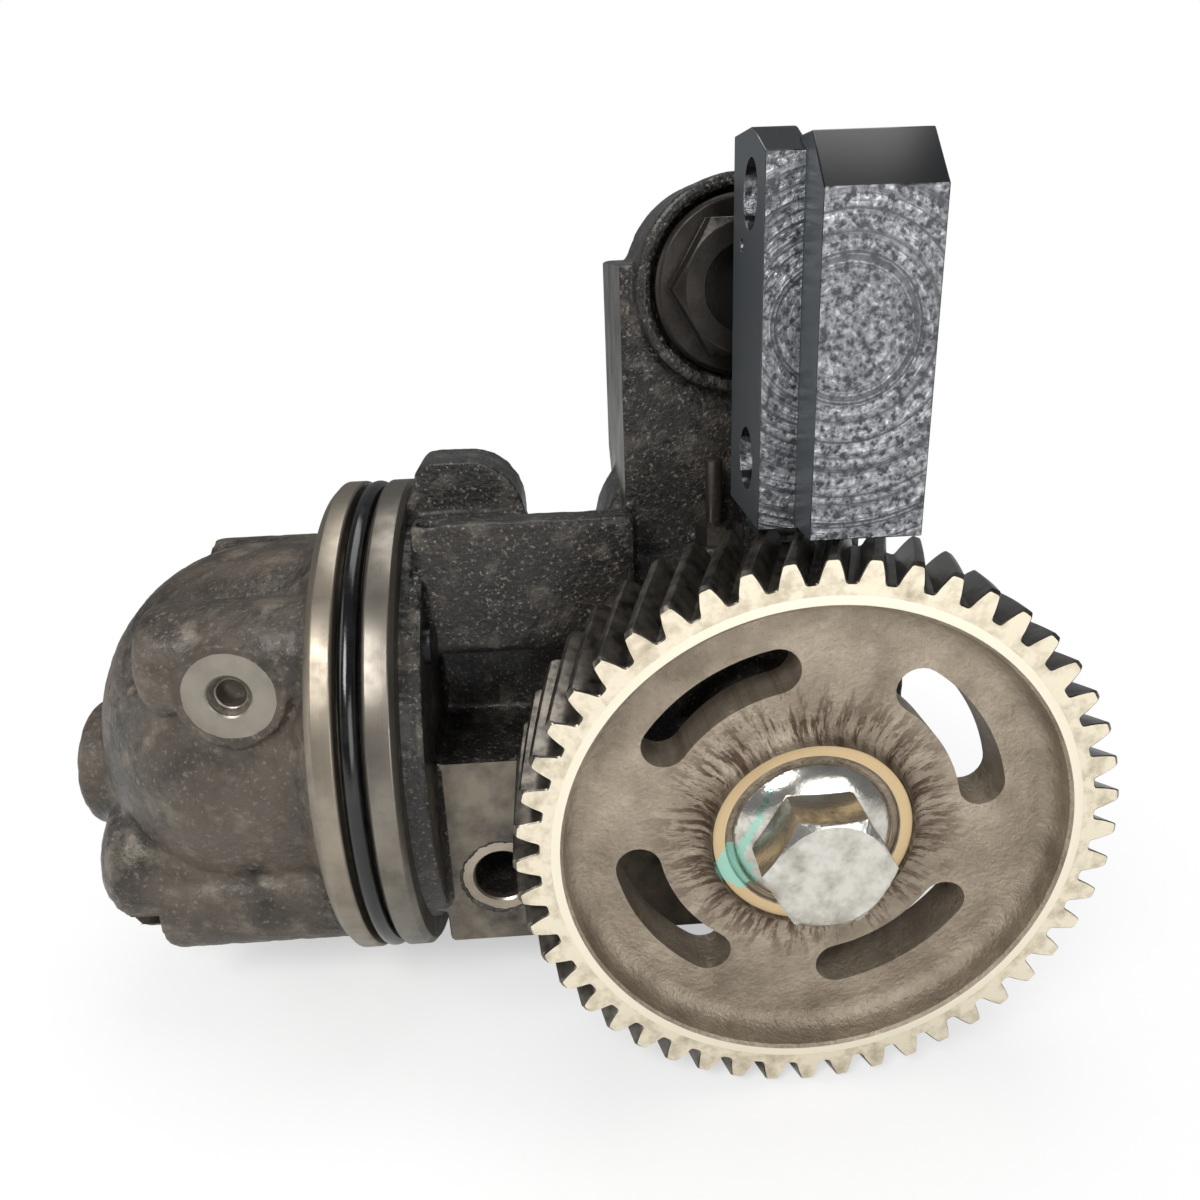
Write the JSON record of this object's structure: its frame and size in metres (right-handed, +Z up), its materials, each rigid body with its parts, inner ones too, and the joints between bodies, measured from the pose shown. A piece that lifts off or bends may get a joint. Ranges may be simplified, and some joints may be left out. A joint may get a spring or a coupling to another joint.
{
  "type": "engine oil pump",
  "caption": "Gear-driven engine oil pump with a round spigot, helical drive gear, domed end cover, relief valve arm and side mounting block.",
  "frame": {"origin": "centre of the spigot's sealing land, on the spigot's axis", "axes": "-X out of the pump along the spigot's axis, +Y from the drive gear's front to the rear cover, +Z up towards the valve arm"},
  "size_m": [0.3006, 0.189, 0.2531],
  "materials": {
    "cast_body": "oily sand-cast iron",
    "cast_cover": "sand-cast iron",
    "o_ring": "glossy nitrile rubber",
    "screws": "blackened steel",
    "steel": "ground steel",
    "gasket": "fibre gasket sheet",
    "gear_steel": "hardened steel with a cast web",
    "zinc_bolt": "bright zinc plate",
    "bronze": "bearing bronze",
    "spring_steel": "oil-tempered spring steel",
    "plug_steel": "dull plated steel",
    "copper": "annealed copper",
    "black_paint": "black paint on sawn steel"
  },
  "bodies": {
    "housing": {"pump_body": "cast_body", "end_cover": "cast_cover", "rear_cover": "cast_cover", "spigot_o_ring": "o_ring", "end_cover_screws": "screws", "rear_cover_screws": "screws", "rear_cover_dowels": "steel", "rear_cover_gasket": "gasket", "drive_front_bush": "bronze", "drive_rear_bush": "bronze", "idler_front_bush": "bronze", "idler_rear_bush": "bronze", "relief_spring": "spring_steel", "relief_plug": "plug_steel", "relief_plug_seal": "copper", "mounting_block": "black_paint", "block_screws": "screws", "bleed_screw": "plug_steel"},
    "drive": {"drive_gear": "gear_steel", "gear_bolt": "zinc_bolt", "drive_shaft": "steel", "drive_key": "steel", "thrust_washer": "steel", "pump_driving_gear": "steel", "pump_gear_key": "steel"},
    "idler": {"idler_gear": "steel", "idler_shaft": "steel"},
    "relief_valve": {"relief_piston": "steel"}
  },
  "joints": [
    {"name": "drive_spin", "type": "hinge", "parent": "housing", "child": "drive", "pos_m": [0.1145, -0.08, 0], "axis": [0, 1, 0], "continuous": true},
    {"name": "idler_spin", "type": "hinge", "parent": "housing", "child": "idler", "pos_m": [0.0655, 0.014, 0], "axis": [0, 1, 0], "continuous": true},
    {"name": "relief_slide", "type": "slide", "parent": "housing", "child": "relief_valve", "axis": [0, -1, 0], "range_m": [0, 0.01], "stiffness_N_per_m": 4000, "springref_m": -0.012, "deforming": ["relief_spring"]}
  ],
  "couplings": [
    {"joint": "idler_spin", "follows": "drive_spin", "ratio": -1}
  ]
}
